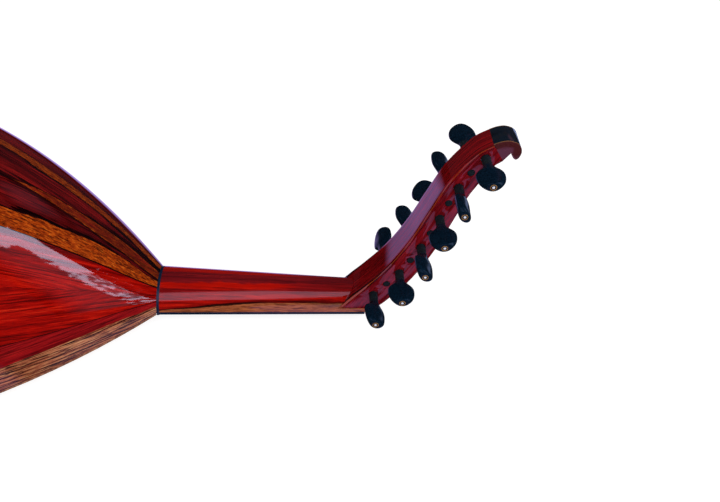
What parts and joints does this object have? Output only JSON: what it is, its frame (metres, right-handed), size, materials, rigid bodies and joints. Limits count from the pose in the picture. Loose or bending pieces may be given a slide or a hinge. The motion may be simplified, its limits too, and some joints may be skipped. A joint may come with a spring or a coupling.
{
  "type": "oud",
  "caption": "Short-necked fretless lute with a deep ribbed back, a flat soundboard with pierced roses, a steeply bent pegbox, turning pegs and paired strings.",
  "frame": {"origin": "middle of the bounding box in X and Y, at the lowest point, which is the face of the bridge on which the oud lies", "axes": "+X along the neck towards the pegbox, +Y towards the treble side, +Z out of the rounded back; the soundboard faces down"},
  "size_m": [0.8056, 0.3578, 0.2137],
  "materials": {
    "redwood": "high gloss lacquer over bright red figured heartwood",
    "dark_redwood": "high gloss lacquer over dark red figured heartwood",
    "pegbox_wood": "satin lacquer",
    "ebony": "polished",
    "spruce": "thin satin varnish, straight grain",
    "walnut": "oiled",
    "bone": "polished bone",
    "plain_string": "clear nylon",
    "wound_string": "silvered winding"
  },
  "bodies": {
    "instrument": {"stave_1": "dark_redwood", "stave_2": "redwood", "stave_3": "dark_redwood", "stave_4": "redwood", "stave_5": "dark_redwood", "stave_6": "redwood", "stave_7": "dark_redwood", "stave_8": "redwood", "end_clasp": "ebony", "neck_block": "walnut", "tail_block": "walnut", "soundboard": "spruce", "edge_binding": "ebony", "rosette_main": "walnut", "rosette_bass": "walnut", "rosette_treble": "walnut", "pickguard": "walnut", "brace_1": "spruce", "brace_2": "spruce", "brace_3": "spruce", "brace_4": "spruce", "brace_5": "spruce", "brace_6": "spruce", "neck": "redwood", "neck_ring": "ebony", "fingerboard": "ebony", "nut": "bone", "bridge": "walnut", "pegbox_wall_bass": "pegbox_wood", "pegbox_wall_treble": "pegbox_wood", "pegbox_back": "redwood", "pegbox_heel": "walnut", "finial": "ebony", "string_1": "wound_string", "string_2": "wound_string", "string_3": "wound_string", "string_4": "wound_string", "string_5": "wound_string", "string_6": "plain_string", "string_7": "plain_string", "string_8": "plain_string", "string_9": "plain_string", "string_10": "plain_string", "string_11": "plain_string"},
    "peg_bass_1": {"peg_bass_1": "ebony"},
    "peg_treble_1": {"peg_treble_1": "ebony"},
    "peg_bass_2": {"peg_bass_2": "ebony"},
    "peg_treble_2": {"peg_treble_2": "ebony"},
    "peg_bass_3": {"peg_bass_3": "ebony"},
    "peg_treble_3": {"peg_treble_3": "ebony"},
    "peg_bass_4": {"peg_bass_4": "ebony"},
    "peg_treble_4": {"peg_treble_4": "ebony"},
    "peg_bass_5": {"peg_bass_5": "ebony"},
    "peg_treble_5": {"peg_treble_5": "ebony"},
    "peg_bass_6": {"peg_bass_6": "ebony"}
  },
  "joints": [
    {"name": "peg_bass_1_turn", "type": "hinge", "parent": "instrument", "child": "peg_bass_1", "pos_m": [0.2934, 0, 0.0367], "axis": [0, 1, 0], "continuous": true},
    {"name": "peg_treble_1_turn", "type": "hinge", "parent": "instrument", "child": "peg_treble_1", "pos_m": [0.30466, 0, 0.05062], "axis": [0, 1, 0], "continuous": true},
    {"name": "peg_bass_2_turn", "type": "hinge", "parent": "instrument", "child": "peg_bass_2", "pos_m": [0.31499, 0, 0.06523], "axis": [0, 1, 0], "continuous": true},
    {"name": "peg_treble_2_turn", "type": "hinge", "parent": "instrument", "child": "peg_treble_2", "pos_m": [0.32373, 0, 0.08084], "axis": [0, 1, 0], "continuous": true},
    {"name": "peg_bass_3_turn", "type": "hinge", "parent": "instrument", "child": "peg_bass_3", "pos_m": [0.33138, 0, 0.09703], "axis": [0, 1, 0], "continuous": true},
    {"name": "peg_treble_3_turn", "type": "hinge", "parent": "instrument", "child": "peg_treble_3", "pos_m": [0.33781, 0, 0.11372], "axis": [0, 1, 0], "continuous": true},
    {"name": "peg_bass_4_turn", "type": "hinge", "parent": "instrument", "child": "peg_bass_4", "pos_m": [0.34356, 0, 0.13067], "axis": [0, 1, 0], "continuous": true},
    {"name": "peg_treble_4_turn", "type": "hinge", "parent": "instrument", "child": "peg_treble_4", "pos_m": [0.3491, 0, 0.14769], "axis": [0, 1, 0], "continuous": true},
    {"name": "peg_bass_5_turn", "type": "hinge", "parent": "instrument", "child": "peg_bass_5", "pos_m": [0.35507, 0, 0.16456], "axis": [0, 1, 0], "continuous": true},
    {"name": "peg_treble_5_turn", "type": "hinge", "parent": "instrument", "child": "peg_treble_5", "pos_m": [0.36325, 0, 0.18047], "axis": [0, 1, 0], "continuous": true},
    {"name": "peg_bass_6_turn", "type": "hinge", "parent": "instrument", "child": "peg_bass_6", "pos_m": [0.37314, 0, 0.19537], "axis": [0, 1, 0], "continuous": true}
  ]
}
